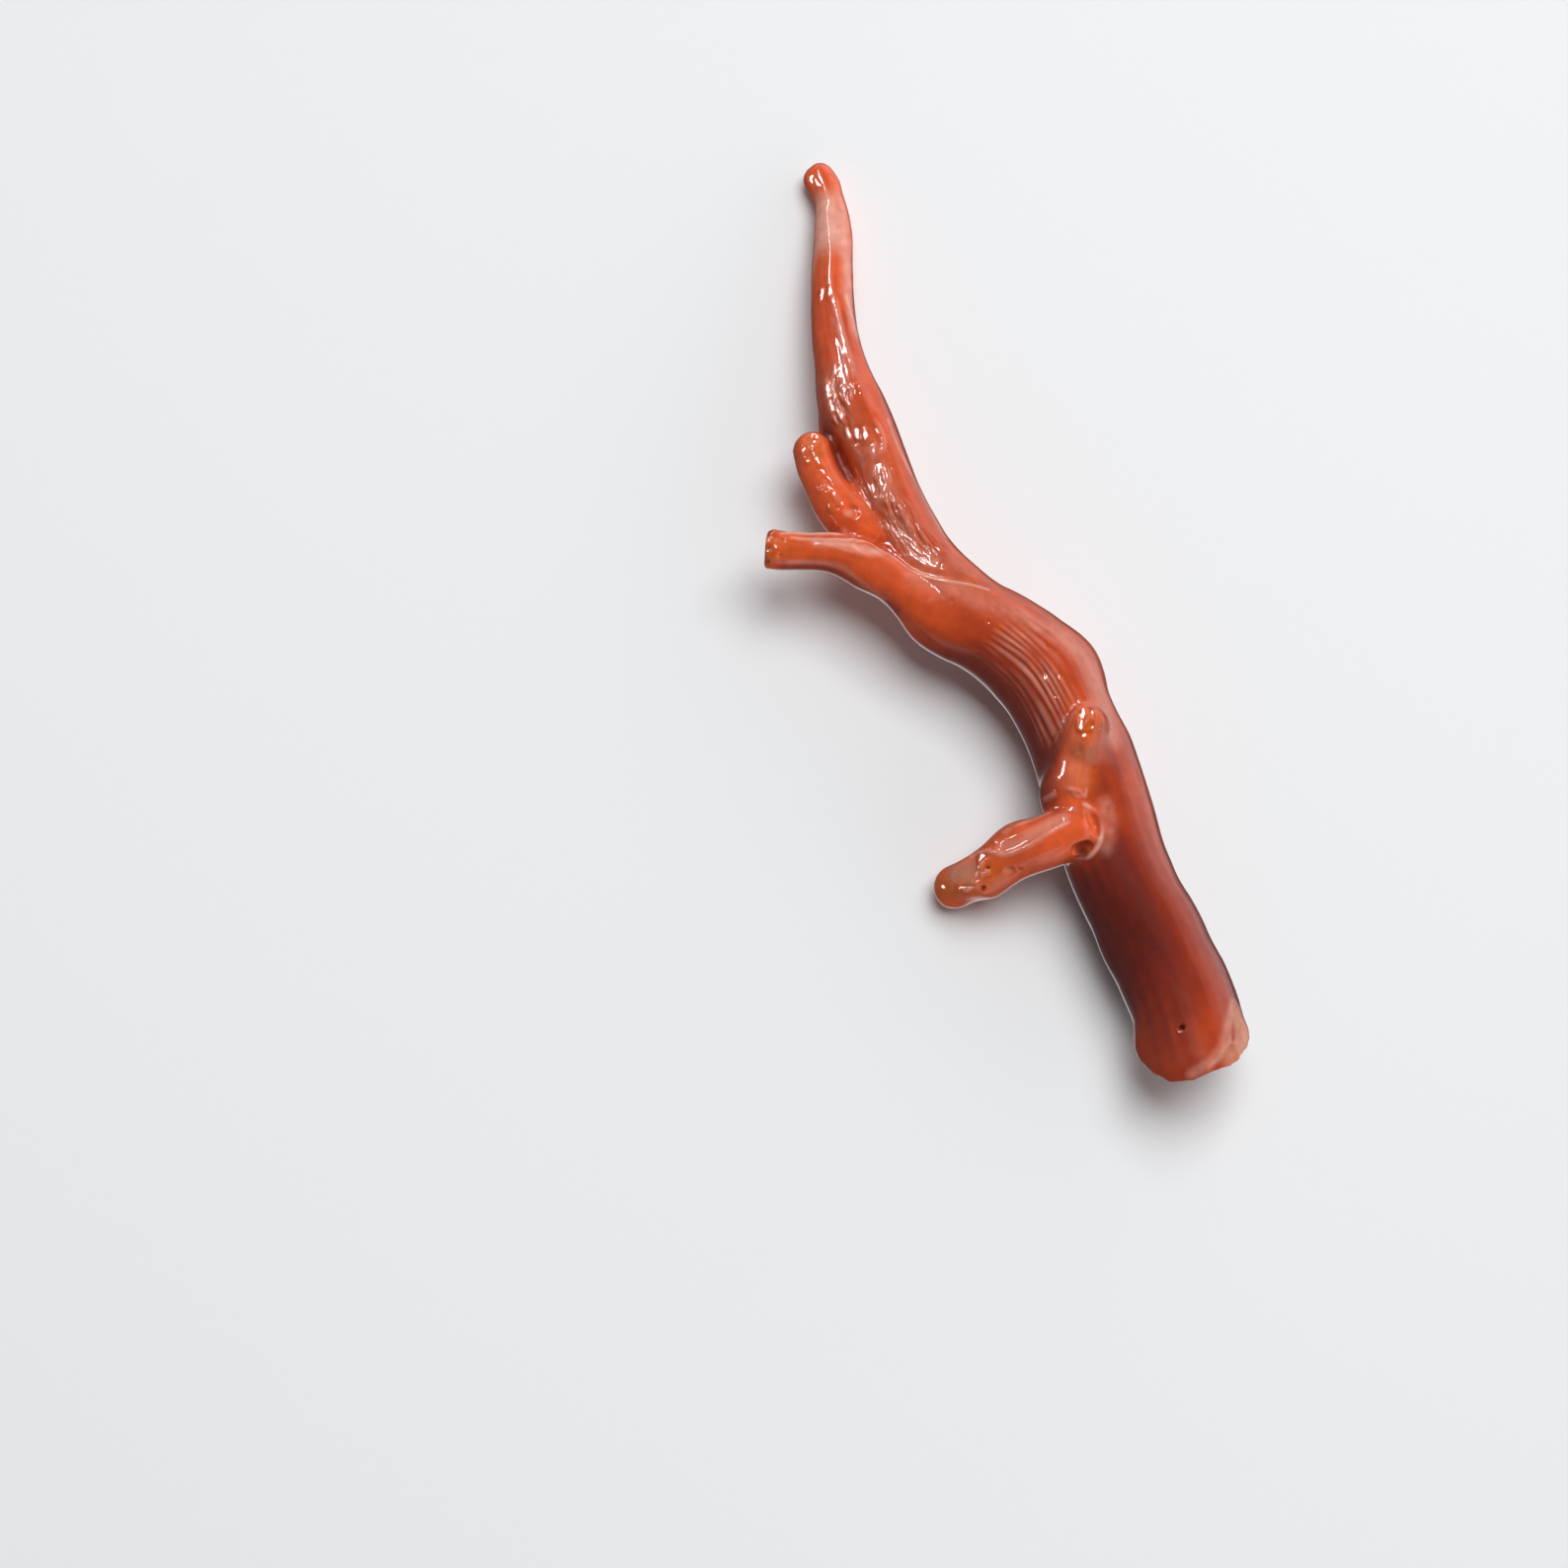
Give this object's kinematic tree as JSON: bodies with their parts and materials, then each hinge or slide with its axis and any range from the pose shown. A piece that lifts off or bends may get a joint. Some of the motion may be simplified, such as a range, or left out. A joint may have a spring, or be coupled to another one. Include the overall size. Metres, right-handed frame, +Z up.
{
  "type": "red coral branch",
  "caption": "Polished branch of red coral lying on its side, with a stout sawn trunk, a thin leader, a side branch, a thumb-like stub and a hooked twig.",
  "frame": {"origin": "on the surface that the branch lies on, under the middle of its box", "axes": "+Z up from that surface; +Y from the sawn foot towards the thin tip; the side branch and the hooked twig point to -X"},
  "size_m": [0.0355, 0.0758, 0.0096],
  "materials": {
    "polished_coral": "polished orange-red calcite skeleton, amber at the tips"
  },
  "bodies": {
    "root": {"trunk": "polished_coral", "middle_stem": "polished_coral", "leader": "polished_coral", "side_branch": "polished_coral", "thumb_stub": "polished_coral", "hooked_twig": "polished_coral"}
  },
  "joints": []
}
